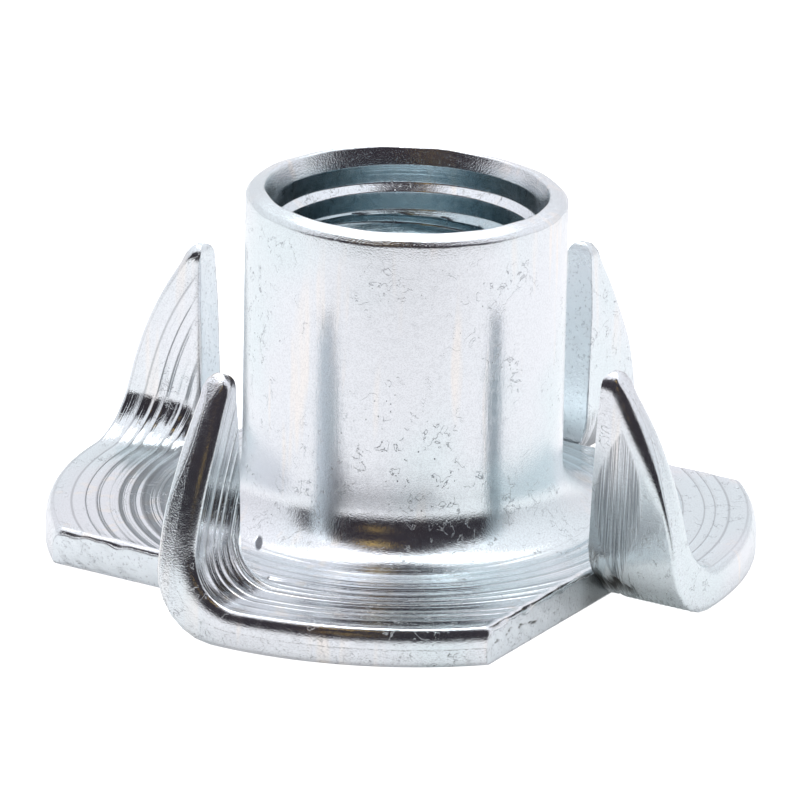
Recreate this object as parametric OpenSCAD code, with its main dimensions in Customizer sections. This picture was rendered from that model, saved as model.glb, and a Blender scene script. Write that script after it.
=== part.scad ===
// Four-prong tee nut, drawn and folded from one disc of steel sheet.
// Millimetres, +Z up. The origin is the centre of the flange's underside, on the barrel's axis.

/* [Flange] */
// Diameter across the round rim of the flange
flange_d = 22.2; // [21:0.1:26]
// Thickness of the sheet
sheet_t = 1.2; // [0.9:0.05:1.4]
// Rounding that the punch leaves along the upper edge of each sheared side
edge_r = 0.32; // [0.1:0.02:0.4]
// Slighter rounding along the lower edge
burr_r = 0.09; // [0.05:0.01:0.12]

/* [Barrel] */
// Outside diameter of the barrel
barrel_d = 10; // [9:0.1:11]
// Height from the flange's underside to the crown of the lip
overall_h = 11.5; // [10:0.1:16]
// Rounding of the lip's outer edge
lip_r = 0.45; // [0.2:0.05:0.6]
// Diameter of the plain mouth above the thread
mouth_d = 8.4; // [8:0.1:8.6]
// Depth of the flare that leads from the lip down to the mouth
flare_depth = 0.6; // [0.3:0.05:1]
// Depth of the mouth below the lip's crown
mouth_depth = 1.17; // [0.9:0.01:2]
// Width of the ledge, at 45 degrees, that leads from the mouth to the plain guide below it
ledge_w = 0.23; // [0.1:0.01:0.3]
// Length of the guide between the ledge and the lead of the thread
guide_len = 0.57; // [0.3:0.01:1]
// Diameter inside the thread's crests
thread_minor_d = 6.7; // [6:0.05:7.2]
// Fillet between the barrel and the flange's upper face
fillet_r = 1.6; // [0.8:0.1:1.9]
// Rounded entry that drawing leaves in the underside
entry_r = 2; // [0.8:0.1:2.6]

/* [Prongs] */
// How many prongs are lanced from the rim
prong_count = 4; // [3:1:4]
// Height of the prong tips above the flange's underside
prong_h = 7.7; // [6.5:0.1:9.5]
// Turn of the first fold line about the axis
fold_turn = -121; // [-180:1:180]
// Inside radius of the fold
fold_r = 0.85; // [0.6:0.05:1.3]
// Distance of each shear line from the axis
shear_line = 7.85; // [7.6:0.05:8.6]
// Gap that the shear leaves beside a prong
shear_gap = 0.1; // [0.05:0.05:0.3]
// Length of the tear past the end of a shear
tear_len = 0.5; // [0.2:0.05:0.8]
// Outward lean of the sheared side of a prong
prong_lean = 2.5; // [0:0.5:5]
// Rounding of a prong's tip
tip_r = 0.25; // [0.2:0.01:0.4]
// How far the rim has drawn in where the fold ends and the upright starts
draw_in = 0.1; // [0.1:0.01:0.2]
// Slope of the rim there
back_angle = 9; // [8:0.5:12]

/* [Hidden] */
$fn = 96;
zinc = [0.80, 0.83, 0.86];
// Overrun of every cut past the face that it opens
over = 1;
// A sheared edge is a little flatter than a quarter round: its centre stands this much deeper
flat_share = 1.2;
// The fold keeps a sharper sheared edge than the upright
root_share = 0.8;
// A prong's tip stands out this much past its back and its side, so the round crosses both at an angle
ease = 0.02;
flange_r = flange_d / 2;
barrel_r = barrel_d / 2;
mouth_r = mouth_d / 2;
minor_r = thread_minor_d / 2;
// The crown of the lip, where its outer rounding meets the flare
crown_r = barrel_r - lip_r;
guide_r = mouth_r - ledge_w;
// The chamfer below the guide leads into the thread at 45 degrees
lead_depth = guide_r - minor_r;
// The fold's centre line stands this high, and the upright starts there
fold_z = sheet_t + fold_r;
prong_side = shear_line + shear_gap;

// The rim above a fold runs in one long arc, the back of the prong, to a round tip.
// Points are [out along the fold, up].
back_foot = [flange_r - draw_in, fold_z];
back_n = [cos(back_angle), sin(back_angle)];
tip_in = tip_r - ease;
tip_z = prong_h - tip_r;
tip_c = [prong_side + (tip_z - fold_z) * tan(prong_lean) + tip_in / cos(prong_lean), tip_z];
to_foot = back_foot - tip_c;
back_r = (to_foot * to_foot - tip_in * tip_in) / (2 * (to_foot * back_n - tip_in));
back_c = back_foot - back_r * back_n;
back_end_angle = atan2(tip_c[1] - back_c[1], tip_c[0] - back_c[0]);
side_n_angle = 180 - prong_lean;

// Corner of a section, to be cut away so that a round that starts r from the corner is left.
// The corner is at the origin, and the material lies towards -X and -Y.
module corner_round(r, centre_share = 1) {
    c = r * centre_share;
    difference() {
        translate([-r, -r])
            square(r + over);
        translate([-c, -c])
            circle(norm([c, c - r]));
    }
}

// The same for an edge that the punch has sheared
module sheared_round(r) {
    corner_round(r, flat_share);
}

// Half section of the barrel and the flange, to the right of the axis
module half_section() {
    difference() {
        union() {
            square([flange_r, sheet_t]);
            square([barrel_r, overall_h]);
            translate([barrel_r, sheet_t])
                difference() {
                    square(fillet_r);
                    translate([fillet_r, fillet_r])
                        circle(fillet_r);
                }
        }
        translate([flange_r, sheet_t])
            sheared_round(edge_r);
        translate([flange_r, 0])
            mirror([0, 1])
                sheared_round(burr_r);
        translate([barrel_r, overall_h])
            corner_round(lip_r);
        bore_section();
    }
}

// Half section of the opening: rounded entry, thread bore, lead, guide, ledge, mouth and flare
module bore_section() {
    translate([0, -over])
        square([minor_r, overall_h + 2 * over]);
    translate([minor_r, 0])
        rotate(180)
            corner_round(entry_r);
    ledge_z = overall_h - mouth_depth - ledge_w;
    guide_z = ledge_z - guide_len;
    polygon([
        [0, guide_z - lead_depth],
        [minor_r, guide_z - lead_depth],
        [guide_r, guide_z],
        [guide_r, ledge_z],
        [mouth_r, overall_h - mouth_depth],
        [mouth_r, overall_h - flare_depth],
        [crown_r, overall_h],
        [crown_r, overall_h + over],
        [0, overall_h + over]
    ]);
}

// What the lance takes from the flat flange beside one fold line, which runs along +X
module lance() {
    reach = flange_r + over;
    translate([shear_line, -reach, -over])
        cube([reach, reach, sheet_t + 2 * over]);
    translate([shear_line, -over, -over])
        cube([shear_gap, over + tear_len, sheet_t + 2 * over]);
    // Rounded upper edge of the lobe's sheared side
    translate([shear_line, 0, sheet_t])
        rotate([90, 0, 0])
            linear_extrude(reach)
                sheared_round(edge_r);
}

// Section of the strip that folds up: out along X from the shear to the rim, thickness along Y
module strip_section() {
    difference() {
        translate([prong_side, 0])
            square([flange_r - prong_side, sheet_t]);
        translate([flange_r, 0])
            mirror([0, 1])
                sheared_round(edge_r);
        translate([prong_side, 0])
            rotate(180)
                sheared_round(edge_r * root_share);
        translate([flange_r, sheet_t])
            sheared_round(burr_r);
    }
}

// The quarter turn from the flange up into the prong, about a line above the fold
module fold() {
    translate([0, 0, fold_z])
        rotate([0, 90, 0])
            rotate([0, 0, -90])
                rotate_extrude(angle = 90)
                    translate([fold_r, 0])
                        rotate(90)
                            mirror([0, 1])
                                strip_section();
}

// Disc whose rim is the back of the prong, with both edges rounded
module back_disc() {
    translate(back_c)
        rotate_extrude()
            difference() {
                square([back_r, sheet_t]);
                translate([back_r, 0])
                    mirror([0, 1])
                        sheared_round(edge_r);
                translate([back_r, sheet_t])
                    sheared_round(burr_r);
            }
}

// Corner that the round of the tip leaves over, between the back and the sheared side
module tip_corner() {
    out = flange_d * [cos(back_end_angle), sin(back_end_angle)];
    back = flange_d * [cos(side_n_angle), sin(side_n_angle)];
    difference() {
        polygon([tip_c, tip_c + out, tip_c + out + back, tip_c + back]);
        translate(tip_c)
            circle(tip_r);
    }
}

// The upright blade, with its face towards the lobe on the plane Z = 0
module blade() {
    side_run = (flange_d - fold_z) * tan(prong_lean);
    difference() {
        intersection() {
            back_disc();
            linear_extrude(sheet_t)
                polygon([[prong_side, fold_z], [flange_d, fold_z], [flange_d, flange_d],
                    [prong_side + side_run, flange_d]]);
        }
        translate([0, 0, -over])
            linear_extrude(sheet_t + 2 * over)
                tip_corner();
        translate([prong_side, fold_z, 0])
            rotate([-90, 0, -prong_lean])
                translate([0, 0, -over])
                    linear_extrude(prong_h)
                        rotate(90)
                            sheared_round(edge_r);
    }
}

// What the arc of the back takes from the rim on its way up through the fold
module fold_trim() {
    rotate([90, 0, 0])
        linear_extrude(fold_z + over)
            difference() {
                translate([0, -over])
                    square([flange_d, fold_z + 2 * over]);
                translate(back_c)
                    circle(back_r);
            }
}

// One prong on a fold line along +X, its lobe towards +Y
module prong() {
    difference() {
        fold();
        fold_trim();
    }
    translate([0, -fold_r, 0])
        rotate([90, 0, 0])
            blade();
}

module tee_nut() {
    color(zinc)
        rotate(fold_turn)
            union() {
                difference() {
                    rotate_extrude()
                        half_section();
                    for (i = [0 : prong_count - 1])
                        rotate(i * 360 / prong_count)
                            lance();
                }
                for (i = [0 : prong_count - 1])
                    rotate(i * 360 / prong_count)
                        prong();
            }
}

tee_nut();
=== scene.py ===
import math

import bmesh
import bpy
import numpy as np
from bpy.props import FloatProperty, FloatVectorProperty, PointerProperty
from mathutils import Matrix, Vector


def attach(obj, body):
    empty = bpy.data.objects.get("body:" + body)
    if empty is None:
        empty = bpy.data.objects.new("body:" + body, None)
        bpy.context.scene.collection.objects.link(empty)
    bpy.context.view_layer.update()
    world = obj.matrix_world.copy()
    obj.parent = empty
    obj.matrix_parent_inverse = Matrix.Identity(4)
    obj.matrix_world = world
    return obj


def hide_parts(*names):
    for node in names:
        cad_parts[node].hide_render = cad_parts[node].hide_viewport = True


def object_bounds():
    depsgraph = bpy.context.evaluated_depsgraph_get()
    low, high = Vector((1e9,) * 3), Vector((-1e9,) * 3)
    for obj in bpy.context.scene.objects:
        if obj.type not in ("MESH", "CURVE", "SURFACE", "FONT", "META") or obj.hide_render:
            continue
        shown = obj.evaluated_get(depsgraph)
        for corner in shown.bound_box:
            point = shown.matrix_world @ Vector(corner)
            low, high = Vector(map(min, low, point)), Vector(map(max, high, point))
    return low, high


bl_info = {
    "name": "Tee Nut",
    "version": (1, 0, 0),
    "blender": (4, 5, 0),
    "location": "View3D > Sidebar > Tee Nut",
    "description": "Dresses a drawn and folded four-prong tee nut in bright zinc plate",
    "category": "Object",
}

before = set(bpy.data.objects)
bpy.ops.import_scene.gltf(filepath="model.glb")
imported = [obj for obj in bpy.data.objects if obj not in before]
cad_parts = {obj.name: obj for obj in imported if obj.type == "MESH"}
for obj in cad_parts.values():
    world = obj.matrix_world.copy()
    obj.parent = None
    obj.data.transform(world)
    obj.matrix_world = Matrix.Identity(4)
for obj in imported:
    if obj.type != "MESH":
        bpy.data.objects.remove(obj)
CAD_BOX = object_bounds()
PRONGS = 4
# Where the revolved middle of the nut hands over to the four lobes
JOIN_RADIUS = 0.0072
# The front right prong, whose root is torn
TORN_PRONG = 1
# How far the cut lip wavers, up and out
LIP_WAVER_UP, LIP_WAVER_OUT = 0.000014, 0.00001
# How dark the painted shade on the lead of the thread is, carried in the tear mark
LEAD_PAINTED_SHADE = 0.28
# How grainy the fillet and the rolled edge of the rim are, where the lip is 1
FILLET_GRAIN, ROLL_GRAIN = 0.12, 0.25
# Spacing of the rows on the flat part of a lobe
ROW_STEP = 0.000092
# Steps down the thickness of a sheared face, and points down the wall of the rim
CUT_STEPS, WALL_POINTS = 17, 7
# Width and depth of the roll along a sheared edge of a lobe, and the share of it along the side of a prong
SHEAR_ROLL_WIDTH, SHEAR_ROLL_DEPTH, PRONG_ROLL_SHARE = 0.00024, 0.00016, 0.75
# Tear past the end of a shear: width, reach and depth, and the share of it at the other three prongs
TEAR_WIDTH, TEAR_REACH, TEAR_DEPTH, LESSER_TEAR = 0.0001, 0.0009, 0.0004, 0.12
# Crack at the foot of the torn prong: length, width, depth, how far up it starts and how steeply it climbs
CRACK_LENGTH, CRACK_WIDTH, CRACK_DEPTH = 0.0017, 0.00036, 0.00018
CRACK_START, CRACK_SLOPE = 0.00078, 0.12
# Where down a sheared face the break starts, and how much that line wavers, as shares of the thickness
BREAK_SHARE, BREAK_WAVER_SHARE = 0.42, 0.17
# How far the break, the cracks and the waver move a sheared face, and the share of it on the side of a prong
BREAK_DEPTH, CUT_CRACK_DEPTH, CUT_WAVER, PRONG_CUT_SHARE = 0.00004, 0.00007, 0.00002, 0.2
# Points closer than this are one, and edges sharper than this many degrees are shaded as edges
MERGE_DISTANCE, SHARP_DEGREES = 2e-7, 50
# How strongly the sheared faces are cracked: at the torn root, at the other lobes and on the prongs
TORN_CRACK, LOBE_CRACK, PRONG_CRACK = 0.9, 0.35, 0.15
# Lens of drag lines on the outer face of the torn prong: its middle along and up, half width and half height
LENS_ALONG, LENS_UP, LENS_HALF_WIDTH, LENS_HALF_HEIGHT = 0.00889, 0.0033, 0.0009, 0.0024
# Spacing of the ribs round the foot of that prong
RIB_PITCH = 0.00021
# The nick in the fillet: place, turn, how much narrower it is than tall, and where it fades in
NICK_PLACE, NICK_TURN, NICK_SQUEEZE, NICK_FADE = (-0.00437, -0.00412, 0.0013), -0.5, 3.2, (0.00044, 0.00026)
# Depth of each kind of relief in the plate
RING_RELIEF, DRAG_RELIEF, TURNED_RELIEF, BREAK_RELIEF = 0.000036, 0.000007, 0.000006, 0.000024
PIT_RELIEF, NICK_RELIEF, SPECK_RELIEF, GRAIN_RELIEF = 0.000009, 0.00002, 0.00001, 0.0000036
# Half the width of the floor, and how far it lies below the nut
FLOOR_HALF, FLOOR_DROP = 3.0, 0.00001
# Where the floor's colour fades from pale to painted shade towards the camera, on the dark room's side, and
# the colour of that painted shade
FLOOR_SHADE_FADE, PAINTED_FLOOR_SHADE = (-0.11, -0.008), (0.06, 0.055, 0.06, 1)
# Where the two lamps of the dark room are seen from the nut, and how strong they are
LAMPS = (((-0.22, -0.50, 0.84), 0.9), ((-0.28, -0.88, 0.40), 0.4))
# Place, size and power of the light overhead
OVERHEAD_PLACE, OVERHEAD_SIZE, OVERHEAD_POWER = (0.0, 0.14, 0.5), 0.4, 0.9
# Edge of the frame in pixels, where the nut's origin falls in it, and the width of the sensor in millimetres
FRAME_PX, ORIGIN_PX, SENSOR_MM = 800.0, (400.6, 538.5), 36.0


def length(name, default, description):
    """A size that a user may change, in metres"""
    return FloatProperty(name=name, description=description, default=default, unit="LENGTH", precision=6)


def angle(name, degrees, description):
    """An angle that a user may change, given here in degrees"""
    return FloatProperty(name=name, description=description, default=math.radians(degrees), subtype="ANGLE")


def tint(name, default, description):
    """A colour that a user may change"""
    return FloatVectorProperty(name=name, description=description, default=default, subtype="COLOR",
                               min=0, max=1)


class NutSizes(bpy.types.PropertyGroup):
    """Sizes of the barrel, the thread, the flange and the prongs"""

    height: length("Height", CAD_BOX[1][2], "From the flange's underside to the crown of the lip")
    barrel_radius: length("Barrel radius", 0.005, "Outside of the barrel")
    lip_width: length("Lip width", 0.00057, "From the crown of the lip out to the barrel's outside")
    lip_fall: length("Lip fall", 0.00014, "How far the lip falls from its crown to its outer corner")
    lip_corner: length("Lip corner", 0.00013, "Width of that corner")
    lip_rise: length("Lip rise", 0.00005, "How far the cut end stands above the nominal height on average")
    lip_tilt: length("Lip tilt", 0.00013, "How much further it stands up at its highest place")
    lip_aim: angle("Lip tilt place", -129, "Where the cut end is highest, at the front left")
    mouth_radius: length("Mouth radius", 0.0042, "Plain mouth above the thread")
    flare_depth: length("Flare depth", 0.0006, "From the lip down to the mouth")
    mouth_depth: length("Mouth depth", 0.00117, "From the lip down to the ledge")
    ledge: length("Ledge", 0.00023, "Width of the ledge between the mouth and the guide")
    guide: length("Guide", 0.00057, "Length of the plain guide above the thread's lead")
    minor_radius: length("Thread crest radius", 0.00335, "Inside the thread's crests")
    major_radius: length("Thread root radius", 0.004, "Outside the thread's roots")
    pitch: length("Thread pitch", 0.00125, "Rise of one turn")
    thread_start: angle("Thread start", -29, "Turn of the thread about the axis")
    fillet: length("Fillet", 0.0016, "Between the barrel and the flange")
    entry: length("Entry rounding", 0.002, "Drawn rounding of the underside")
    flange_radius: length("Flange radius", 0.0111, "Round rim of the flange")
    sheet: length("Sheet", 0.0012, "Thickness of the steel")
    roll_width: length("Rolled edge width", 0.00027, "How far in the punch has rolled the rim's upper edge")
    roll_depth: length("Rolled edge depth", 0.00058, "How far down it has rolled that edge")
    burr: length("Lower edge", 0.00009, "Slight rounding of the rim's lower edge")
    fold_turn: angle("Fold turn", -121, "Place of the first fold line")
    fold_radius: length("Fold radius", 0.00085, "Inside of the fold")
    shear_line: length("Shear line", 0.00785, "Distance of each shear line from the axis")
    shear_gap: length("Shear gap", 0.0001, "Width of the shear beside a prong")
    prong_height: length("Prong height", 0.0077, "Prong tips above the flange's underside")
    prong_lean: angle("Prong lean", 2.5, "Outward lean of a prong's sheared side")
    tip_round: length("Tip rounding", 0.00025, "Round of a prong's tip")
    tip_coin: length("Coined tip", 0.0004, "Round that the outer edge of a prong has towards its tip")
    fold_round: length("Fold rounding", 0.0016, "Inside of the fold away from the end of the shear")
    tip_thin: FloatProperty(name="Thin tip", description="Share of the thickness lost below a tip",
                            default=0.22)
    tip_dome: length("Tip dome", 0.0005, "Height over which a tip is rounded towards its two faces")
    draw_in: length("Drawn-in rim", 0.0001, "How far the rim has drawn in at the top of the fold")
    back_angle: angle("Back slope", 9, "Slope of the rim where it leaves the fold")
    ring_pitch: length("Ring pitch", 0.00046, "Spacing of the ring marks on the upper face")
    ring_height: length("Ring height", 0.000015, "Height of the ring marks")


class ZincLook(bpy.types.PropertyGroup):
    """Colours of the zinc plate"""

    plate: tint("Plate", (0.83, 0.86, 0.89), "Bright bluish plate")
    cool: tint("Cool film", (0.77, 0.85, 0.87), "Patches where the passive film looks blue green")
    warm: tint("Warm film", (0.94, 0.89, 0.83), "Streaks where the film looks straw coloured")
    bore: tint("Bore", (0.45, 0.61, 0.67), "Thicker blue-green film inside the bore")
    sheared: tint("Sheared steel", (0.86, 0.92, 0.95), "Thin plate on the sheared faces")
    # The pit colour is also painted as dark reflection lines on the ring ridges and as shade in the nick
    pit: tint("Pits", (0.16, 0.17, 0.19), "Bottom of the pits and wrinkles")
    # This colour also paints shade onto the lead of the thread
    tear: tint("Tears", (0.05, 0.05, 0.045), "Torn steel at the roots of the prongs and in cracks")


class StageLook(bpy.types.PropertyGroup):
    """Floor, light and camera"""

    floor: tint("Floor", (0.92, 0.92, 0.92), "Plain pale floor")
    sky: tint("Surround", (0.85, 0.84, 0.88), "White cloth all round")
    room: tint("Dark room", (0.036, 0.031, 0.038), "What stands behind the camera")
    lamp: tint("Lamp", (1.0, 0.66, 0.20), "Warm lamp in the dark room")
    distance: length("Camera distance", 0.32807, "From the origin to the camera")
    elevation: angle("Camera elevation", 20.707, "Above the floor")
    roll: angle("Camera roll", 1.092, "Turn about the line of sight")
    focal_px: FloatProperty(name="Focal length", description="In pixels of the 800 pixel frame",
                            default=10499.6)


def smooth(x):
    """Smooth step from 0 to 1"""
    x = np.clip(x, 0.0, 1.0)
    return x * x * (3 - 2 * x)


def waver(x, seed, waves=5):
    """Smooth irregular wave of about unit height, the same in every run"""
    rng = np.random.default_rng(seed)
    rates, phases = rng.uniform(0.6, 3.2, waves), rng.uniform(0, 2 * math.pi, waves)
    return sum(np.sin(r * x + p) for r, p in zip(rates, phases)) / math.sqrt(waves)


def round_waver(theta, turns):
    """Irregular wave that closes on itself round the axis"""
    return sum(np.sin(n * theta + 1.7 * n) for n in turns) / math.sqrt(len(turns))


def rounded_path(corners, arc_points):
    """Points along a path whose corners [r, z, radius, step] are rounded.

    The step is the longest spacing on the straight run that follows the corner.
    """
    points = []
    count = len(corners)
    for i, (r, z, radius, _) in enumerate(corners):
        here = np.array([r, z])
        if 0 < i < count - 1 and radius > 0:
            before = np.array(corners[i - 1][:2]) - here
            after = np.array(corners[i + 1][:2]) - here
            before /= np.linalg.norm(before)
            after /= np.linalg.norm(after)
            half = math.acos(float(np.clip(before @ after, -1, 1))) / 2
            bisector = (before + after) / np.linalg.norm(before + after)
            centre = here + bisector * radius / math.sin(half)
            start = here + before * radius / math.tan(half)
            a0 = math.atan2(*(start - centre)[::-1])
            end = here + after * radius / math.tan(half)
            turn = math.atan2(*(end - centre)[::-1]) - a0
            turn = (turn + math.pi) % (2 * math.pi) - math.pi
            arc = [centre + radius * np.array([math.cos(a0 + turn * t), math.sin(a0 + turn * t)])
                   for t in np.linspace(0, 1, arc_points)]
        else:
            arc = [here]
        if points:
            last, gap = points[-1], np.linalg.norm(arc[0] - points[-1])
            runs = max(1, math.ceil(gap / corners[i - 1][3] - 1e-6))
            points += [last + (arc[0] - last) * k / runs for k in range(1, runs)]
            if gap < 1e-9:
                arc = arc[1:]
        points += arc
    return np.array(points)


class Skin:
    """Collects grids of points and faces, with what the finish needs to know at each point"""

    def __init__(self):
        self.points, self.faces, self.marks = [], [], []
        self.count = 0

    def add(self, xyz, **marks):
        """Adds points and returns their numbers in the same shape"""
        shape = xyz.shape[:-1]
        self.points.append(xyz.reshape(-1, 3))
        named = [np.broadcast_to(marks.get(k, 0.0), shape).reshape(-1) for k in MARKS]
        self.marks.append(np.stack(named, axis=1))
        numbers = np.arange(self.count, self.count + xyz[..., 0].size).reshape(shape)
        self.count += xyz[..., 0].size
        return numbers

    def quads(self, numbers, flip=False):
        """Faces between neighbouring rows and columns of a grid"""
        a, b = numbers[:-1, :-1], numbers[:-1, 1:]
        c, d = numbers[1:, 1:], numbers[1:, :-1]
        ring = [a, d, c, b] if flip else [a, b, c, d]
        self.faces += np.stack([x.reshape(-1) for x in ring], axis=1).tolist()


# What each point of the skin carries: its distance from the axis before folding, the strength of the ring
# marks, how much of it is a sheared face, the underside and the bore, its place along the torn prong and up
# a prong, how torn it is or how much painted shade darkens the lead of the thread, and how grainy
MARKS = ("disc_radius", "rings", "sheared", "under", "bore", "along", "up", "tear", "lip")


def column_angles():
    """Angles of the columns in one quarter, closer together at the cuts"""
    quarter = 2 * math.pi / PRONGS
    edge = np.radians([0, 0.25, 0.6, 1.05, 1.6, 2.4, 3.4])
    between = np.linspace(edge[-1], quarter - edge[-1], 58)
    return np.concatenate([edge[:-1], between, quarter - edge[-2::-1]])


def thread_radius(s, theta, z):
    """Radius of a right-handed sixty degree thread"""
    turn = (z / s.pitch - (theta - s.thread_start) / (2 * math.pi)) % 1.0
    tooth = np.abs(turn - 0.5) * 2
    return s.minor_radius + (s.major_radius - s.minor_radius) * smooth((tooth - 0.2) / 0.7)


def ring_strength(s, r):
    """How strongly the turned die has marked the upper face, by the distance from the axis"""
    inner = s.barrel_radius + 0.55 * s.fillet
    return smooth((r - inner) / 0.0006) * (0.45 + 0.55 * smooth((r - inner - 0.001) / 0.0012))


def ring_height(s, r, theta):
    """Height of the ring marks: shallow scallops between sharp ridges"""
    across = r / s.ring_pitch + 0.12 * waver(r * 3000, 11) + 0.05 * round_waver(theta, (3, 8, 13))
    return -s.ring_height * np.abs(np.sin(math.pi * across))


def add_middle(skin, s, angles):
    """The revolved middle: entry, threaded bore, mouth, lip, barrel and fillet, out to the lobes"""
    top = s.height
    guide_radius = s.mouth_radius - s.ledge
    ledge_z = top - s.mouth_depth - s.ledge
    guide_z = ledge_z - s.guide
    lead_z = guide_z - (guide_radius - s.minor_radius)
    crown = s.barrel_radius - s.lip_width
    corner_z = top - s.lip_fall
    path = rounded_path([
        (JOIN_RADIUS, 0.0, 0, 0.0006),
        (s.minor_radius, 0.0, s.entry, 0.00013),
        (s.minor_radius, lead_z - s.pitch, 0, 0.00007),
        (s.minor_radius, lead_z, 0.0001, 0.00007),
        (guide_radius, guide_z, 0.00006, 0.0001),
        (guide_radius, ledge_z, 0.00006, 0.0001),
        (s.mouth_radius, top - s.mouth_depth, 0.00008, 0.0001),
        (s.mouth_radius, top - s.flare_depth, 0.0002, 0.0001),
        (crown, top, 0.00009, 0.0001),
        (s.barrel_radius - s.lip_corner, corner_z, 0.0002, 0.0001),
        (s.barrel_radius, corner_z - s.lip_corner, 0.0001, 0.0004),
        (s.barrel_radius, s.sheet, s.fillet, 0.0002),
        (JOIN_RADIUS, s.sheet, 0, 0.00009),
    ], arc_points=9)
    theta = np.concatenate([s.fold_turn + k * 2 * math.pi / PRONGS + angles[:-1] for k in range(PRONGS)])
    r = np.repeat(path[:, :1], len(theta), axis=1)
    z = np.repeat(path[:, 1:], len(theta), axis=1)
    crown_row = int(np.argmax(path[:, 1]))
    inside = np.arange(len(path))[:, None] <= crown_row
    turn = theta[None, :]
    threaded = inside & (z > 0.0003) & (z < guide_z)
    r = np.where(threaded, np.maximum(r, thread_radius(s, turn, z)), r)
    # The lip was cut, not ground: it is a little out of square and wavers
    lip = smooth((z - top + 0.0007) / 0.0006)
    tilt = s.lip_tilt * np.cos(turn - s.lip_aim)
    z = z + lip * (s.lip_rise + tilt + LIP_WAVER_UP * round_waver(turn, (4, 9, 15)))
    r = r + lip * LIP_WAVER_OUT * round_waver(turn, (5, 11, 17))
    rings = np.where(~inside, ring_strength(s, r), 0.0)
    z = z + rings * ring_height(s, r, turn)
    xyz = np.stack([r * np.cos(turn), r * np.sin(turn), z], axis=-1)
    under = np.where(inside & (z < 0.0002), 1.0, 0.0)
    # The blue-green film is the plate's own and is thick in the bore; it is kept thin on the upward-facing
    # ledge so that the ledge stays bright as a painted highlight: heights and shares
    film = ((top - 0.0003, 0), (top - s.flare_depth, 0.55), (top - s.mouth_depth + 0.0002, 0.6),
            (top - s.mouth_depth, 0.1), (ledge_z, 0.1), (ledge_z - 0.00015, 0.7), (lead_z, 1))
    heights, shares = np.array(film).T
    bore = np.where(inside, np.interp(-z, -heights, shares), 0.0)
    # Painted shade: the lead of the thread, just below the guide, is darkened in the tear colour
    lead_painted_shade = smooth((guide_z + 0.00012 - z) / 0.0001) * smooth((z - lead_z + 0.0002) / 0.0002)
    on_lip = smooth((z - top + 0.00066) / 0.0001) * (r > s.mouth_radius)
    in_fillet = smooth((s.sheet + s.fillet - z) / 0.0003) * smooth((s.barrel_radius + s.fillet - r) / 0.0006)
    numbers = skin.add(xyz, disc_radius=r, rings=rings, bore=bore * (1 - under), under=under,
                       tear=np.where(inside, LEAD_PAINTED_SHADE * lead_painted_shade, 0.0),
                       lip=np.maximum(on_lip, np.where(inside, 0.0, FILLET_GRAIN * in_fillet)))
    skin.quads(np.concatenate([numbers, numbers[:, :1]], axis=1), flip=True)


def rim_profile(s):
    """Rows of a lobe from the join out over the rim and back below, as flat radius and height

    Returns the rows, how many of them are on top and the number of the row in the middle of the rim.
    """
    start, rim = s.shear_line, s.flange_radius
    roll = [rim - s.roll_width * (1 - math.sin(a)) for a in np.radians([0, 11, 22, 33, 45, 58, 74, 90])]
    side = start + s.shear_gap
    # Closer rows where the side of the prong crosses the fold
    runs = np.array([0.2, 0.45, 0.7, 0.95, 1.2, 1.45, 1.7, 1.95, 2.3]) / 1000
    near = [start, start + 0.00002, start + s.shear_gap / 2, side, *np.hypot(side, runs)]
    flat = np.arange(near[-1] + 0.00009, roll[0] - 0.00004, ROW_STEP)
    top = np.array([*np.linspace(JOIN_RADIUS, start, 8)[:-1], *near, *flat, *roll])
    into = np.clip((top - (rim - s.roll_width)) / s.roll_width, 0, 1)
    top_z = s.sheet - s.roll_depth * (1 - np.sqrt(1 - into ** 2))
    low = np.minimum(top, rim)
    into = np.clip((low - (rim - s.burr)) / s.burr, 0, 1)
    low_z = s.burr * (1 - np.sqrt(1 - into ** 2))
    wall_z = np.linspace(top_z[-1], low_z[-1], WALL_POINTS)[1:-1]
    r = np.concatenate([top, np.full(len(wall_z), rim), low[::-1]])
    z = np.concatenate([top_z, wall_z, low_z[::-1]])
    return np.stack([r, z], axis=1), len(top), len(top) + len(wall_z) // 2


def lobe_limits(s, r):
    """Angles between which a lobe and its prong lie before folding, at each radius"""
    side = s.shear_line + s.shear_gap
    low = -np.arccos(np.clip(side / r, -1, 1))
    high = np.arcsin(np.clip(s.shear_line / r, -1, 1))
    return np.where(r > side, low, 0.0), high


def prong_curves(s):
    """What bounds an upright prong: height and side of its foot, back circle, round tip and sharp point"""
    fold_z = s.sheet + s.fold_radius
    side = s.shear_line + s.shear_gap
    foot = np.array([s.flange_radius - s.draw_in, fold_z])
    out = np.array([math.cos(s.back_angle), math.sin(s.back_angle)])
    tip_z = s.prong_height - s.tip_round
    tip_a = side + (tip_z - fold_z) * math.tan(s.prong_lean) + s.tip_round / math.cos(s.prong_lean)
    tip = np.array([tip_a, tip_z])
    reach = foot - tip
    back_r = (reach @ reach - s.tip_round ** 2) / (2 * (reach @ out - s.tip_round))
    back = foot - back_r * out
    heights = np.linspace(tip_z, tip_z + 0.0015, 3001)
    width = (back[0] + np.sqrt(np.maximum(back_r ** 2 - (heights - back[1]) ** 2, 0))
             - side - (heights - fold_z) * math.tan(s.prong_lean))
    point_z = heights[int(np.argmax(width <= 0))]
    return fold_z, side, back, back_r, tip, point_z


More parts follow.
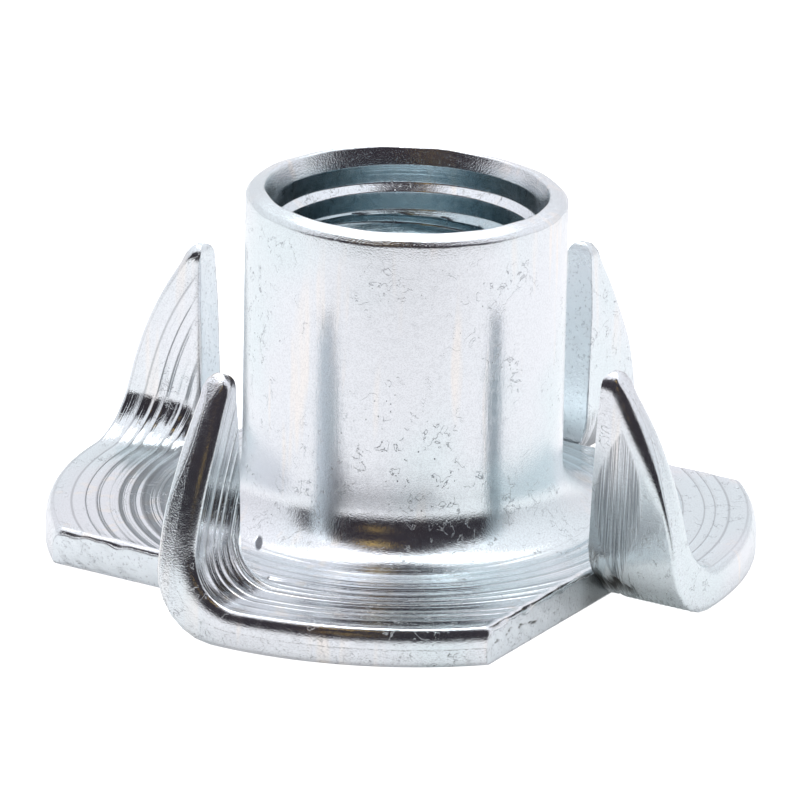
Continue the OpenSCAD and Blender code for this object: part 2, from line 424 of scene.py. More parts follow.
def round_tip(s, a, z, back, back_r, tip):
    """Draws the points of a sharp prong in, so that its tip is round"""
    side_n = np.array([-math.cos(s.prong_lean), math.sin(s.prong_lean)])
    back_n = (tip - back) / np.linalg.norm(tip - back)
    da, dz = a - tip[0], z - tip[1]
    rho = np.hypot(da, dz) + 1e-12
    ua, uz = da / rho, dz / rho
    # Only what lies between the two normals is drawn in
    between = (back_n[0] * uz - back_n[1] * ua >= 0) & (ua * side_n[1] - uz * side_n[0] >= 0)
    to_side = s.tip_round / np.maximum(ua * side_n[0] + uz * side_n[1], 1e-3)
    lead = tip - back
    along = ua * lead[0] + uz * lead[1]
    to_back = -along + np.sqrt(np.maximum(along ** 2 - lead @ lead + back_r ** 2, 0))
    reach = np.minimum(to_side, to_back)
    draw = np.where(between, np.minimum(s.tip_round / reach, 1.0), 1.0)
    return tip[0] + da * draw, tip[1] + dz * draw


def round_fold(s, x, y, z, turn, rise):
    """How far the inner side of a fold moves across and up, because it is rounder than the arc of the fold"""
    more = s.fold_round - s.fold_radius
    arc = s.fold_radius * math.pi / 2
    way = np.clip(np.where(y < 0, more + s.fold_radius * turn + rise, more - y), 0, 2 * more + arc)
    rounder = way / (2 * more + arc) * math.pi / 2
    old_y = np.where(way < more, more - way, -s.fold_radius * np.sin(turn))
    old_z = np.where(way < more, 0.0, s.fold_radius * (1 - np.cos(turn)) + np.minimum(rise, more))
    # Not at the outer side, and not at the end of the shear
    weight = np.clip(z / s.sheet, 0, 1) * smooth((x - s.shear_line) / 0.0007)
    across = weight * (more - s.fold_round * np.sin(rounder) - old_y)
    return across, weight * (s.fold_round * (1 - np.cos(rounder)) - old_z)


def fold_up(s, x, y, z):
    """Folds the flat strip at -Y up into a prong, about a fold line along +X"""
    fold_z, side, back, back_r, tip, point_z = prong_curves(s)
    longest = math.sqrt(s.flange_radius ** 2 - side ** 2)
    bend = longest - (point_z - fold_z)
    run = np.maximum(-y, 0.0)
    folded, standing = run > 0, run > bend
    turn = np.minimum(run / bend, 1.0) * math.pi / 2
    rise = np.maximum(run - bend, 0.0)
    upright = fold_z + rise
    # Across the strip, the sheared side leans and the rim follows the back circle
    flat_rim = np.sqrt(np.maximum(s.flange_radius ** 2 - run ** 2, side ** 2)) - side
    side_at = side + rise * math.tan(s.prong_lean)
    rim_at = back[0] + np.sqrt(np.maximum(back_r ** 2 - (upright - back[1]) ** 2, 0)) - side_at
    foot_rim = math.sqrt(s.flange_radius ** 2 - bend ** 2) - side
    foot_share = (s.flange_radius - s.draw_in - side) / foot_rim
    in_fold = 1 + (foot_share - 1) * np.minimum(run / bend, 1.0)
    share = np.where(standing, np.clip(rim_at / np.maximum(flat_rim, 2e-6), 0, 2), in_fold)
    a = np.where(folded, side_at + (x - side) * share, x)
    # The tip is squeezed thinner and drawn round
    depth = fold_z - z
    a_round, up_round = round_tip(s, a, upright, back, back_r, tip)
    thin = 1 - s.tip_thin * smooth((up_round - tip[1] + 0.0022) / 0.0024)
    dome = np.clip((up_round - s.prong_height) / s.tip_dome + 1, 0, 1)
    thin = thin * np.sqrt(1 - 0.97 * dome ** 2)
    middle = s.fold_radius + s.sheet / 2
    depth = np.where(standing, middle + (depth - middle) * thin, depth)
    new_x = np.where(standing, a_round, a)
    new_y = np.where(standing, -depth, np.where(folded, -depth * np.sin(turn), y))
    new_z = np.where(standing, up_round, np.where(folded, fold_z - depth * np.cos(turn), z))
    across, up = round_fold(s, x, y, z, turn, rise)
    return new_x, new_y + across, new_z + up


def sheared_drop(s, x, y):
    """How far the sheared edges are rolled down, by the distance from the cuts of this lobe"""
    side = s.shear_line + s.shear_gap
    width, depth = SHEAR_ROLL_WIDTH, SHEAR_ROLL_DEPTH
    to_lobe = np.clip(1 - (s.shear_line - y) / width, 0, 1)
    lobe = depth * (1 - np.sqrt(1 - to_lobe ** 2)) * smooth(x / 0.0009) * (1 + 0.3 * waver(x * 3200, 17))
    to_prong = np.clip(1 - (x - side) / width, 0, 1)
    prong = PRONG_ROLL_SHARE * depth * (1 - np.sqrt(1 - to_prong ** 2)) * smooth((-y - 0.0002) / 0.0009)
    return np.where(y > 0, lobe, prong)


def root_tear(s, k, r, theta, y):
    """Short tear that runs on past the end of the shear, deepest at the front right prong"""
    across = (r - s.shear_line - s.shear_gap / 2) / TEAR_WIDTH
    tear = np.exp(-across ** 2) * smooth((TEAR_REACH - y) / 0.0006) * (y >= 0)
    tear = tear * (theta < 0.6) * smooth(theta / 0.004)
    return tear * (1.0 if k == TORN_PRONG else LESSER_TEAR)


def foot_crack(s, x, y, lower):
    """Crack that runs on from the tear along the foot of the outer face of the torn prong"""
    side = s.shear_line + s.shear_gap
    to_end = side + CRACK_LENGTH - x
    line = y + CRACK_START + CRACK_SLOPE * (x - side) + 0.00007 * waver(x * 4000, 31)
    width = CRACK_WIDTH * np.clip(to_end / CRACK_LENGTH, 0.12, 1)
    crack = np.where(lower, np.exp(-(line / width) ** 2) * smooth(to_end / 0.0005), 0.0)
    return crack * (x > side - 1e-9)


def add_lobe(skin, s, k, angles):
    """One quarter of the flange with its folded prong"""
    profile, top_count, middle = rim_profile(s)
    r, z = profile[:, :1], profile[:, 1:]
    low, high = lobe_limits(s, r)
    share = angles[None, :] / angles[-1]
    theta = low + (high - low) * share
    x, y = r * np.cos(theta), r * np.sin(theta)
    z = np.repeat(z, len(angles), axis=1)
    rows = np.arange(len(profile))[:, None]
    upper = rows < top_count
    lower = rows >= len(profile) - top_count
    # Ring marks of the draw on the upper face, and the rolled edges of the cuts
    outer = smooth((s.flange_radius - s.roll_width * 0.6 - r) / 0.0002)
    ring = np.where(upper, outer, 0.0) * np.ones_like(x)
    side = s.shear_line + s.shear_gap
    from_cut = np.where(y > 0, s.shear_line - y, x - side)
    beside = np.where(y > 0, smooth(x / 0.0006), smooth(-y / 0.0006))
    ring = ring * ring_strength(s, r) * (1 - beside * (1 - smooth(from_cut / 0.0004)))
    z = z + ring * ring_height(s, r, theta + k * 2 * math.pi / PRONGS + s.fold_turn)
    z = np.where(upper, z - sheared_drop(s, x, y) * np.minimum(1, (z - 0.0003) / s.sheet + 0.2), z)
    # Towards the tip, the outer edge is coined round; the tip itself keeps the whole section
    longest = math.sqrt(s.flange_radius ** 2 - side ** 2)
    at_tip = smooth((-y - longest + 0.0013) / 0.0009)
    z = np.where(upper, z + 0.9 * at_tip * (s.sheet - z), z)
    coined = smooth((-y - 0.0032) / 0.0024) * (1 - at_tip)
    near = np.clip(1 - (s.flange_radius - r) / s.tip_coin, 0, 1)
    wall = ~(upper | lower)
    down = (z[top_count - 1] - z) / (z[top_count - 1] - z[-top_count])
    z = np.where(lower, z + s.tip_coin * coined * (1 - np.sqrt(1 - near ** 2)), z)
    z = np.where(wall, z[top_count - 1] + down * (z[-top_count] - z[top_count - 1]), z)
    tear = root_tear(s, k, r, theta, y)
    z = np.where(upper, z - TEAR_DEPTH * tear, z)
    crack = foot_crack(s, x, y, lower) if k == TORN_PRONG else np.zeros_like(x)
    z = z + CRACK_DEPTH * crack
    turn = s.fold_turn + k * 2 * math.pi / PRONGS
    # Most of the rim is burnished; its lower part broke away
    broken = np.where(wall, 0.06 + 0.4 * np.clip(down, 0, 1) ** 2, 0.0)
    full = np.ones_like(x)
    rolled = smooth((r - s.flange_radius + s.roll_width) / 0.00008)
    numbers = skin.add(turned(fold_up(s, x, y, z), turn), disc_radius=r * full, rings=ring,
                       under=lower * full, sheared=broken * full, along=x * (k == TORN_PRONG),
                       up=np.maximum(-y, 0), tear=np.maximum(tear * upper, crack),
                       lip=ROLL_GRAIN * upper * rolled * full)
    skin.quads(numbers)
    first = int(np.argmin(np.abs(profile[:top_count, 0] - s.shear_line)))
    # The side of the prong hardly cracked; the side of the lobe did, most beside the torn root
    lobe_crack = TORN_CRACK if k == TORN_PRONG - 1 else LOBE_CRACK
    for column, flip, cracked in ((0, False, PRONG_CRACK), (len(angles) - 1, True, lobe_crack)):
        add_cut_face(skin, s, turn, numbers[:, column], (x[:, column], y[:, column], z[:, column]),
                     profile[:, 0], middle, first, flip, 40 + 2 * k + flip, cracked)


def turned(xyz, turn):
    """Turns points about the axis"""
    x, y, z = xyz
    cos, sin = math.cos(turn), math.sin(turn)
    return np.stack([x * cos - y * sin, x * sin + y * cos, z], axis=-1)


def add_cut_face(skin, s, turn, edge, flat, radius, middle, first, flip, seed, cracked):
    """The sheared face between the upper and the lower edge of one end of a lobe"""
    pairs = middle - first
    shares = np.linspace(0, 1, CUT_STEPS + 1)[1:-1]
    upper = [np.array([c[middle - j] for j in range(1, pairs + 1)]) for c in flat]
    lower = [np.array([c[middle + j] for j in range(1, pairs + 1)]) for c in flat]
    x, y, z = (u[:, None] + (v - u)[:, None] * shares for u, v in zip(upper, lower))
    # The lower part broke off rather than sheared, so it stands back a little behind a wavy line
    along = np.array([radius[middle - j] for j in range(1, pairs + 1)])[:, None]
    fade = smooth((along - s.shear_line - 0.0004) / 0.0008) * smooth((s.flange_radius - along) / 0.0005)
    line = BREAK_SHARE + BREAK_WAVER_SHARE * waver(along * 3500, seed)
    broke = smooth((shares[None, :] - line) / 0.14)
    off_line = (shares[None, :] - line) / 0.05
    crack = np.exp(-off_line ** 2) * smooth(0.8 * waver(along * 5000, seed + 40) + 0.6) * cracked
    rough = BREAK_DEPTH * broke + CUT_CRACK_DEPTH * crack
    rough = rough + CUT_WAVER * waver(along * 9000 + shares[None, :] * 5, seed + 20)
    rough = rough * (1.0 if flip else PRONG_CUT_SHARE)
    # The side of a prong is worn smooth towards its tip
    worn = 1.0 if flip else 1 - 0.85 * smooth((along - s.flange_radius + 0.0011) / 0.0007)
    if flip:
        y = y - rough * fade * np.sin(shares * math.pi) ** 0.5
    else:
        x = x + rough * fade * np.sin(shares * math.pi) ** 0.5
    inner = skin.add(turned(fold_up(s, x, y, z), turn), disc_radius=along * np.ones_like(x),
                     sheared=worn * np.ones_like(x),
                     tear=np.maximum(crack * fade, 0.5 * smooth((s.shear_line + 0.0005 - along) / 0.0004)))
    tops = np.array([edge[middle - j] for j in range(1, pairs + 1)])[:, None]
    lows = np.array([edge[middle + j] for j in range(1, pairs + 1)])[:, None]
    grid = np.concatenate([tops, inner, lows], axis=1)
    skin.quads(grid, flip=not flip)
    apex = int(edge[middle])
    for a, b in zip(grid[0][:-1].tolist(), grid[0][1:].tolist()):
        skin.faces.append([apex, a, b] if flip else [apex, b, a])


def nut_mesh(s):
    """The whole nut as one closed mesh"""
    skin = Skin()
    angles = column_angles()
    add_middle(skin, s, angles)
    for k in range(PRONGS):
        add_lobe(skin, s, k, angles)
    mesh = bpy.data.meshes.new("tee_nut_steel")
    mesh.from_pydata(np.concatenate(skin.points).tolist(), [], skin.faces)
    marks = np.concatenate(skin.marks)
    for i, name in enumerate(MARKS):
        values = mesh.attributes.new(name, "FLOAT", "POINT").data
        values.foreach_set("value", marks[:, i].astype(np.float32))
    work = bmesh.new()
    work.from_mesh(mesh)
    bmesh.ops.remove_doubles(work, verts=work.verts, dist=MERGE_DISTANCE)
    bmesh.ops.dissolve_degenerate(work, edges=work.edges, dist=1e-8)
    bmesh.ops.recalc_face_normals(work, faces=work.faces)
    loose = sum(not e.is_manifold for e in work.edges)
    work.to_mesh(mesh)
    work.free()
    print("open edges:", loose, "faces:", len(mesh.polygons))
    mesh.shade_smooth()
    mesh.set_sharp_from_angle(angle=math.radians(SHARP_DEGREES))
    return mesh


def simple_group(name, inputs, outputs):
    """A shader node group with named sockets, its nodes and links ready to fill"""
    group = bpy.data.node_groups.new(name, "ShaderNodeTree")
    for label, kind, default in inputs:
        socket = group.interface.new_socket(label, in_out="INPUT", socket_type=kind)
        socket.default_value = default
    for label, kind in outputs:
        group.interface.new_socket(label, in_out="OUTPUT", socket_type=kind)
    return group, group.nodes.new("NodeGroupInput"), group.nodes.new("NodeGroupOutput")


class Nodes:
    """Short calls to place and link nodes in one tree"""

    def __init__(self, tree):
        self.tree = tree

    def new(self, kind, values=None, **settings):
        node = self.tree.nodes.new(kind)
        for key, value in settings.items():
            setattr(node, key, value)
        for key, value in (values or {}).items():
            self.set(node.inputs[key], value)
        return node

    def set(self, socket, value):
        if isinstance(value, bpy.types.NodeSocket):
            self.tree.links.new(value, socket)
        else:
            socket.default_value = value

    def math(self, operation, a, b=0.0, clamp=False):
        return self.new("ShaderNodeMath", {0: a, 1: b}, operation=operation, use_clamp=clamp).outputs[0]

    def noise(self, place, scale, detail, dimensions="3D", **more):
        values = {"W" if dimensions == "1D" else "Vector": place, "Scale": scale, "Detail": detail, **more}
        return self.new("ShaderNodeTexNoise", values, noise_dimensions=dimensions).outputs["Fac"]

    def ramp(self, value, low, high, to_low=0.0, to_high=1.0):
        node = self.new("ShaderNodeMapRange", {"Value": value, "From Min": low, "From Max": high,
                                               "To Min": to_low, "To Max": to_high})
        node.interpolation_type = "SMOOTHSTEP"
        return node.outputs["Result"]

    def mix(self, factor, a, b):
        node = self.new("ShaderNodeMix", data_type="RGBA")
        for key, value in (("Factor", factor), ("A", a), ("B", b)):
            socket = next(i for i in node.inputs if i.name == key and i.enabled)
            self.set(socket, value)
        return next(o for o in node.outputs if o.enabled)


def mark(nodes, name):
    """A value that the skin carries at each point"""
    return nodes.new("ShaderNodeAttribute", attribute_name=name, attribute_type="GEOMETRY").outputs["Fac"]


def ring_mark_group():
    """Ridges of the turned die on the upper face: the scallops of the mesh, sharpened, with finer lines, and
    a mask of the ridges where dark reflection lines are painted
    """
    group, given, result = simple_group(
        "ring_marks",
        [("Disc Radius", "NodeSocketFloat", 0.0), ("Position", "NodeSocketVector", (0, 0, 0)),
         ("Pitch", "NodeSocketFloat", 0.00046)],
        [("Height", "NodeSocketFloat"), ("Painted Dark Ridge", "NodeSocketFloat")])
    n = Nodes(group)
    across = n.math("DIVIDE", given.outputs["Disc Radius"], given.outputs["Pitch"])
    around = n.noise(given.outputs["Position"], 160.0, 2.0)
    across = n.math("ADD", across, n.math("MULTIPLY", around, 0.35))
    drift = n.noise(across, 0.7, 1.0, "1D")
    turn = n.math("MULTIPLY", n.math("ADD", across, n.math("MULTIPLY", drift, 0.8)), math.pi)
    scallop = n.math("ABSOLUTE", n.math("SINE", turn))
    fine = n.noise(n.math("MULTIPLY", across, 5.0), 1.0, 2.0, "1D")
    n.set(result.inputs["Height"], n.math("SUBTRACT", n.math("MULTIPLY", fine, 0.45), scallop))
    n.set(result.inputs["Painted Dark Ridge"], n.ramp(scallop, 0.35, 0.05))
    return group


def wear_group():
    """Small pits and hairline wrinkles in the plate"""
    group, given, result = simple_group(
        "pits_and_wrinkles",
        [("Position", "NodeSocketVector", (0, 0, 0)), ("Amount", "NodeSocketFloat", 1.0)],
        [("Height", "NodeSocketFloat"), ("Mask", "NodeSocketFloat")])
    n = Nodes(group)
    place = given.outputs["Position"]
    patchy = n.ramp(n.noise(place, 330.0, 3.0), 0.40, 0.62)
    fold = n.noise(place, 2100.0, 3.0, Roughness=0.55, Distortion=0.5)
    crease = n.ramp(n.math("ABSOLUTE", n.math("SUBTRACT", fold, 0.52)), 0.012, 0.003)
    broken = n.noise(place, 1900.0, 1.0)
    crease = n.math("MULTIPLY", crease, n.ramp(broken, 0.51, 0.58))
    cells = n.new("ShaderNodeTexVoronoi", {"Vector": place, "Scale": 8000.0, "Randomness": 1.0})
    few = n.ramp(n.new("ShaderNodeSeparateColor", {0: cells.outputs["Color"]}).outputs[0], 0.93, 0.95)
    pit = n.math("MULTIPLY", n.ramp(cells.outputs["Distance"], 0.26, 0.10), few)
    mask = n.math("MULTIPLY", n.math("MAXIMUM", crease, pit), patchy)
    mask = n.math("MULTIPLY", mask, given.outputs["Amount"], clamp=True)
    n.set(result.inputs["Mask"], mask)
    n.set(result.inputs["Height"], n.math("MULTIPLY", mask, -1.0))
    return group


def film_group():
    """Slow change of colour in the passive film on the zinc, and pale streaks that ran down it"""
    group, given, result = simple_group(
        "passive_film",
        [("Position", "NodeSocketVector", (0, 0, 0)), ("Plate", "NodeSocketColor", (0.8, 0.8, 0.8, 1)),
         ("Cool", "NodeSocketColor", (0.7, 0.8, 0.8, 1)), ("Warm", "NodeSocketColor", (0.9, 0.8, 0.7, 1))],
        [("Color", "NodeSocketColor")])
    n = Nodes(group)
    place = given.outputs["Position"]
    slow = n.noise(place, 170.0, 2.0)
    drawn = n.new("ShaderNodeMapping", {"Vector": place, "Scale": (1500, 1500, 160)}).outputs[0]
    streak = n.noise(drawn, 1.0, 2.0)
    cooled = n.mix(n.ramp(slow, 0.42, 0.66), given.outputs["Plate"], given.outputs["Cool"])
    ran = n.math("MULTIPLY", n.ramp(streak, 0.55, 0.70), n.ramp(slow, 0.62, 0.44))
    n.set(result.inputs["Color"], n.mix(n.math("MULTIPLY", ran, 0.6), cooled, given.outputs["Warm"]))
    return group


def grain_group():
    """Fine grain of the plate, drawn out along the barrel"""
    group, given, result = simple_group(
        "plate_grain",
        [("Position", "NodeSocketVector", (0, 0, 0))],
        [("Height", "NodeSocketFloat"), ("Value", "NodeSocketFloat"), ("Speck", "NodeSocketFloat")])
    n = Nodes(group)
    place = given.outputs["Position"]
    drawn = n.new("ShaderNodeMapping", {"Vector": place, "Scale": (14000, 14000, 1500)}).outputs[0]
    lines = n.noise(drawn, 1.0, 2.0)
    dots = n.noise(place, 21000.0, 2.0)
    mottle = n.noise(place, 3800.0, 3.0)
    height = n.math("ADD", n.math("MULTIPLY", lines, 0.7), dots)
    n.set(result.inputs["Height"], n.math("ADD", height, n.math("MULTIPLY", mottle, 0.6)))
    n.set(result.inputs["Value"], mottle)
    n.set(result.inputs["Speck"], dots)
    return group


def tear_group():
    """Rough break and upright burnish lines of a sheared face"""
    group, given, result = simple_group(
        "sheared_face",
        [("Position", "NodeSocketVector", (0, 0, 0))],
        [("Height", "NodeSocketFloat"), ("Dark", "NodeSocketFloat")])
    n = Nodes(group)
    place = given.outputs["Position"]
    drawn = n.new("ShaderNodeMapping", {"Vector": place, "Scale": (5200, 5200, 900)}).outputs[0]
    lines = n.noise(drawn, 1.0, 3.0, Roughness=0.6)
    lumps = n.noise(place, 2600.0, 4.0, Roughness=0.65)
    fine = n.noise(place, 9500.0, 2.0)
    height = n.math("ADD", n.math("MULTIPLY", lines, 0.6), lumps)
    n.set(result.inputs["Height"], n.math("ADD", height, n.math("MULTIPLY", fine, 0.5)))
    n.set(result.inputs["Dark"], n.math("MAXIMUM", n.ramp(lumps, 0.36, 0.26), n.ramp(fine, 0.60, 0.68)))
    return group


def drag_group():
    """Upright lines that the die dragged into the outer face of the torn prong, and ribs round its foot"""
    group, given, result = simple_group(
        "drag_marks",
        [("Along", "NodeSocketFloat", 0.0), ("Up", "NodeSocketFloat", 0.0)],
        [("Height", "NodeSocketFloat"), ("Mask", "NodeSocketFloat")])
    n = Nodes(group)
    along, up = given.outputs["Along"], given.outputs["Up"]
    place = n.new("ShaderNodeCombineXYZ", {0: n.math("MULTIPLY", along, 26000.0),
                                           1: n.math("MULTIPLY", up, 350.0)}).outputs[0]
    lines = n.noise(place, 1.0, 2.0, "2D")
    high = n.math("DIVIDE", n.math("SUBTRACT", up, LENS_UP), LENS_HALF_HEIGHT)
    half = n.math("MULTIPLY", n.math("SUBTRACT", 1.0, n.math("MULTIPLY", high, high)), LENS_HALF_WIDTH)
    inside = n.math("SUBTRACT", half, n.math("ABSOLUTE", n.math("SUBTRACT", along, LENS_ALONG)))
    lens = n.ramp(inside, 0.0, 0.00012)
    ribs = n.math("ABSOLUTE", n.math("SINE", n.math("MULTIPLY", along, math.pi / RIB_PITCH)))
    foot = n.math("MULTIPLY", n.ramp(up, 0.0001, 0.0004), n.ramp(up, 0.0017, 0.0011))
    ribbed = n.math("MULTIPLY", n.math("MULTIPLY", ribs, foot), 0.7)
    n.set(result.inputs["Height"], n.math("ADD", n.math("MULTIPLY", lines, lens), ribbed))
    n.set(result.inputs["Mask"], n.math("MULTIPLY", n.ramp(lines, 0.62, 0.40), lens))
    return group


def nick_mask(n, place):
    """One nick low on the fillet, to the left of the barrel; its dark colour is painted shade in the dent"""
    off = n.new("ShaderNodeVectorMath", {0: place, 1: NICK_PLACE}, operation="SUBTRACT").outputs[0]
    squeezed = n.new("ShaderNodeMapping", {"Vector": off, "Rotation": (0, 0, NICK_TURN),
                                           "Scale": (NICK_SQUEEZE, 1.0, 1.0)}).outputs[0]
    far = n.new("ShaderNodeVectorMath", {0: squeezed}, operation="LENGTH").outputs["Value"]
    return n.ramp(far, *NICK_FADE)


def stacked_bumps(n, reliefs):
    """Normal of several reliefs, one on another, each given as its height and depth"""
    normal = None
    for height, depth in reliefs:
        bump = n.new("ShaderNodeBump", {"Strength": 1.0, "Distance": depth, "Height": height})
        if normal:
            n.set(bump.inputs["Normal"], normal)
        normal = bump.outputs["Normal"]
    return normal


def zinc_material(look, sizes):
    """Bright zinc plate with ring marks, pits, a passive film, one nick and matte sheared faces; dark
    reflection lines on the ring ridges, shade in the nick and shade on the lead of the thread are painted
    into its colour
    """
    material = bpy.data.materials.new("zinc_plate")
    material.use_nodes = True
    tree = material.node_tree
    n = Nodes(tree)
    shader = tree.nodes["Principled BSDF"]
    place = n.new("ShaderNodeTexCoord").outputs["Object"]
    rings, sheared = mark(n, "rings"), mark(n, "sheared")
    under, bore = mark(n, "under"), mark(n, "bore")
    tear, lip = mark(n, "tear"), mark(n, "lip")

    def group(tree_of_group, **links):
        node = n.new("ShaderNodeGroup", node_tree=tree_of_group)
        for key, value in links.items():
            n.set(node.inputs[key.replace("_", " ")], value)
        return node.outputs

    ring = group(ring_mark_group(), Disc_Radius=mark(n, "disc_radius"), Position=place,
                 Pitch=sizes.ring_pitch)
    # The bore and the lip have few pits
    pitted = n.ramp(n.math("MAXIMUM", bore, lip), 0.6, 0.0, 0.1, 1.0)
    wear = group(wear_group(), Position=place, Amount=pitted)
    film = group(film_group(), Position=place, Plate=(*look.plate, 1), Cool=(*look.cool, 1),
                 Warm=(*look.warm, 1))
    grain = group(grain_group(), Position=place)
    torn = group(tear_group(), Position=place)
    drag = group(drag_group(), Along=mark(n, "along"), Up=mark(n, "up"))
    nick = nick_mask(n, place)

    colour = film["Color"]
    for share, over in ((n.math("MULTIPLY", bore, 0.8), look.bore),
                        (n.ramp(grain["Speck"], 0.42, 0.64, 0.0, 0.14), look.pit),
                        # Painted reflection: dark lines along the ridges of the ring marks, in the pit colour
                        (n.math("MULTIPLY", n.math("MULTIPLY", ring["Painted Dark Ridge"], rings), 0.42), look.pit),
                        (n.math("MULTIPLY", n.math("MULTIPLY", drag["Mask"], under), 0.65), look.pit),
                        (sheared, look.sheared),
                        # Torn steel at the roots and in the cracks, and painted shade on the lead of the
                        # thread
                        (n.ramp(tear, 0.1, 0.9), look.tear),
                        (n.math("MULTIPLY", torn["Dark"], n.ramp(sheared, 0.0, 0.3, 0.0, 0.3)), look.pit),
                        (n.math("MULTIPLY", wear["Mask"], 0.5), look.pit),
                        # The nick: a real dent, darkened with painted shade
                        (nick, look.pit)):
        colour = n.mix(share, colour, (*over, 1))
    n.set(shader.inputs["Base Color"], colour)
    shader.inputs["Metallic"].default_value = 1.0
    rough = n.ramp(grain["Value"], 0.3, 0.7, 0.15, 0.22)
    rough = n.math("SUBTRACT", rough, n.math("MULTIPLY", rings, 0.05))
    rough = n.math("ADD", rough, n.math("MULTIPLY", n.math("MAXIMUM", sheared, tear), 0.2))
    rough = n.math("ADD", rough, n.math("MULTIPLY", wear["Mask"], 0.15), clamp=True)
    # Light that has met another part of the nut first finds the ring marks blurred
    first = n.new("ShaderNodeLightPath").outputs["Is Camera Ray"]
    blurred = n.math("MULTIPLY", n.math("SUBTRACT", 1.0, first), rings)
    n.set(shader.inputs["Roughness"], n.math("ADD", rough, n.math("MULTIPLY", blurred, 0.5), clamp=True))

    height_on_axis = n.new("ShaderNodeSeparateXYZ", {0: place}).outputs[2]
    turned_lines = n.noise(height_on_axis, 15000.0, 2.0, "1D")
    broken = n.math("ADD", sheared, n.math("MULTIPLY", under, 0.1))
    normal = stacked_bumps(n, (
        (n.math("MULTIPLY", ring["Height"], rings), RING_RELIEF),
        (n.math("MULTIPLY", drag["Height"], under), DRAG_RELIEF),
        (n.math("MULTIPLY", turned_lines, bore), TURNED_RELIEF),
        (n.math("MULTIPLY", torn["Height"], broken), BREAK_RELIEF),
        (wear["Height"], PIT_RELIEF),
        (n.math("MULTIPLY", nick, -1.0), NICK_RELIEF),
        (n.math("MULTIPLY", grain["Speck"], lip), SPECK_RELIEF),
        (n.math("MULTIPLY", grain["Speck"], n.ramp(sheared, 0.01, 0.06)), SPECK_RELIEF),
        (grain["Height"], GRAIN_RELIEF)))
    n.set(shader.inputs["Normal"], normal)
    return material


class TEENUT_OT_steel(bpy.types.Operator):
    """Draw the barrel, cut its thread and fold the prongs up from the flange"""

    bl_idname = "teenut.steel"
    bl_label = "Make the nut"

    def execute(self, context):
        sizes = context.scene.nut_sizes
        nut = bpy.data.objects.new("tee_nut_steel", nut_mesh(sizes))
        context.scene.collection.objects.link(nut)
        nut.data.materials.append(zinc_material(context.scene.zinc_look, sizes))
        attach(nut, "root")
        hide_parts("tee_nut")
        return {"FINISHED"}


def floor_plane(context, colour):
    """A wide pale floor at the nut's underside, darkened with painted shade towards the camera"""
    mesh = bpy.data.meshes.new("floor")
    half = FLOOR_HALF
    corners = [(-half, -half, 0), (half, -half, 0), (half, half, 0), (-half, half, 0)]
    mesh.from_pydata(corners, [], [(0, 1, 2, 3)])
    floor = bpy.data.objects.new("floor", mesh)
    floor.location.z = -FLOOR_DROP
    context.scene.collection.objects.link(floor)
    paint = bpy.data.materials.new("pale_floor")
    paint.use_nodes = True
    n = Nodes(paint.node_tree)
    shader = paint.node_tree.nodes["Principled BSDF"]
    # Painted shade: the floor darkens towards the camera, on the side of the dark room
    ahead = n.new("ShaderNodeSeparateXYZ", {0: n.new("ShaderNodeTexCoord").outputs["Object"]}).outputs[1]
    n.set(shader.inputs["Base Color"], n.mix(n.ramp(ahead, *FLOOR_SHADE_FADE), PAINTED_FLOOR_SHADE, (*colour, 1)))
    shader.inputs["Roughness"].default_value = 0.9
    shader.inputs["Specular IOR Level"].default_value = 0.0
    shader.inputs["Emission Color"].default_value = (1, 1, 1, 1)
    # The photograph is exposed for a white floor; the nut mirrors a dimmer one
    seen = n.new("ShaderNodeLightPath").outputs["Is Camera Ray"]
    n.set(shader.inputs["Emission Strength"], n.ramp(seen, 0.0, 1.0, 0.2, 1.0))
    mesh.materials.append(paint)


def studio_surround(scene, look):
    """White all round, with the dark room on the camera's side that the fillet and the rolled edges mirror"""
    world = bpy.data.worlds.new("studio")
    scene.world = world
    world.use_nodes = True
    tree = world.node_tree
    n = Nodes(tree)
    way = n.new("ShaderNodeTexCoord").outputs["Generated"]
    x, y, z = n.new("ShaderNodeSeparateXYZ", {0: way}).outputs
    facing = n.math("DIVIDE", n.math("MULTIPLY", y, -1.0),
                    n.math("SQRT", n.math("ADD", n.math("MULTIPLY", x, x), n.math("MULTIPLY", y, y))))
    # The dark room narrows upwards, like an arch
    inside = n.math("SUBTRACT", facing, n.ramp(z, 0.55, 0.97, 0.0, 0.5))
    dark = n.math("MULTIPLY", n.ramp(inside, 0.10, 0.34), n.ramp(z, 0.985, 0.970))
    light = n.mix(dark, (*look.sky, 1), (*look.room, 1))
    for aim, share in LAMPS:
        near = n.new("ShaderNodeVectorMath", {0: way, 1: Vector(aim).normalized()}, operation="DOT_PRODUCT")
        light = n.mix(n.ramp(near.outputs["Value"], 0.9945, 0.999, 0.0, share), light, (*look.lamp, 1))
    n.set(tree.nodes["Background"].inputs["Color"], light)
    n.set(tree.nodes["Background"].inputs["Strength"], n.ramp(z, 0.0, 1.0, 1.0, 1.3))


def area_light(context, name, place, aim, size, power, colour):
    """A soft square light that looks at a point"""
    data = bpy.data.lights.new(name, "AREA")
    data.size, data.energy, data.color = size, power, colour
    light = bpy.data.objects.new(name, data)
    light.location = place
    light.rotation_mode = "QUATERNION"
    light.rotation_quaternion = (Vector(aim) - Vector(place)).to_track_quat("-Z", "Y")
    context.scene.collection.objects.link(light)


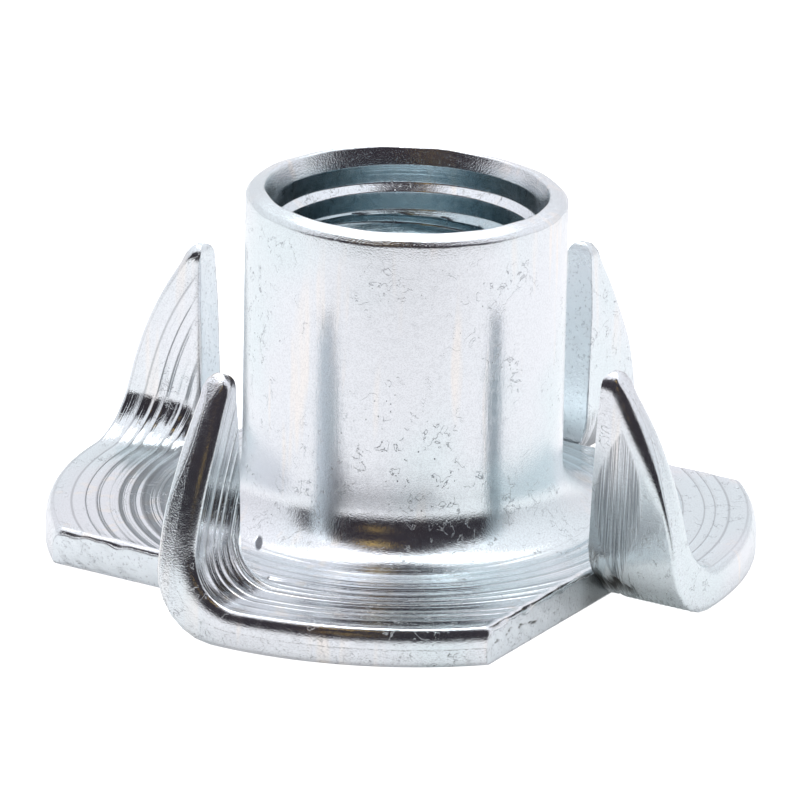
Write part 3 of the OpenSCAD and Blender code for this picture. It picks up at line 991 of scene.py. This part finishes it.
def photo_camera(context, look):
    """The camera of the photograph, turned so that the frame's centre falls on its axis"""
    e, roll = look.elevation, look.roll
    place = Vector((0, -math.cos(e), math.sin(e))) * look.distance
    ahead = -place.normalized()
    right = Vector((1, 0, 0))
    up = right.cross(ahead)
    right, up = math.cos(roll) * right + math.sin(roll) * up, math.cos(roll) * up - math.sin(roll) * right
    off_right, off_up = FRAME_PX / 2 - ORIGIN_PX[0], ORIGIN_PX[1] - FRAME_PX / 2
    ahead = (look.focal_px * ahead + off_right * right + off_up * up).normalized()
    right = (right - right.dot(ahead) * ahead).normalized()
    up = right.cross(ahead)
    data = bpy.data.cameras.new("photo_camera")
    data.sensor_width = SENSOR_MM
    data.lens = look.focal_px * data.sensor_width / FRAME_PX
    data.clip_start, data.clip_end = 0.01, 20.0
    camera = bpy.data.objects.new("photo_camera", data)
    camera.matrix_world = Matrix.Translation(place) @ Matrix((right, up, -ahead)).transposed().to_4x4()
    context.scene.collection.objects.link(camera)
    context.scene.camera = camera


class TEENUT_OT_stage(bpy.types.Operator):
    """Set the pale floor, the soft studio light and the camera"""

    bl_idname = "teenut.stage"
    bl_label = "Set the stage"

    def execute(self, context):
        look = context.scene.stage_look
        floor_plane(context, look.floor)
        studio_surround(context.scene, look)
        area_light(context, "overhead", OVERHEAD_PLACE, (0, 0, 0), OVERHEAD_SIZE, OVERHEAD_POWER, (1, 1, 1))
        photo_camera(context, look)
        context.scene.view_settings.view_transform = "Standard"
        return {"FINISHED"}


class TEENUT_PT_panel(bpy.types.Panel):
    """Steps and values of the tee nut"""

    bl_label = "Tee Nut"
    bl_idname = "TEENUT_PT_panel"
    bl_space_type = "VIEW_3D"
    bl_region_type = "UI"
    bl_category = "Tee Nut"

    def draw(self, context):
        for operator in (TEENUT_OT_steel, TEENUT_OT_stage):
            self.layout.operator(operator.bl_idname)
        for group in (context.scene.nut_sizes, context.scene.zinc_look, context.scene.stage_look):
            column = self.layout.column()
            for name in group.bl_rna.properties.keys():
                if name not in ("rna_type", "name"):
                    column.prop(group, name)


CLASSES = (NutSizes, ZincLook, StageLook, TEENUT_OT_steel, TEENUT_OT_stage, TEENUT_PT_panel)


def register():
    for cls in CLASSES:
        bpy.utils.register_class(cls)
    bpy.types.Scene.nut_sizes = PointerProperty(type=NutSizes)
    bpy.types.Scene.zinc_look = PointerProperty(type=ZincLook)
    bpy.types.Scene.stage_look = PointerProperty(type=StageLook)


def unregister():
    del bpy.types.Scene.stage_look
    del bpy.types.Scene.zinc_look
    del bpy.types.Scene.nut_sizes
    for cls in reversed(CLASSES):
        bpy.utils.unregister_class(cls)


def main():
    register()
    bpy.ops.teenut.steel()
    bpy.ops.teenut.stage()


if __name__ == "__main__":
    main()
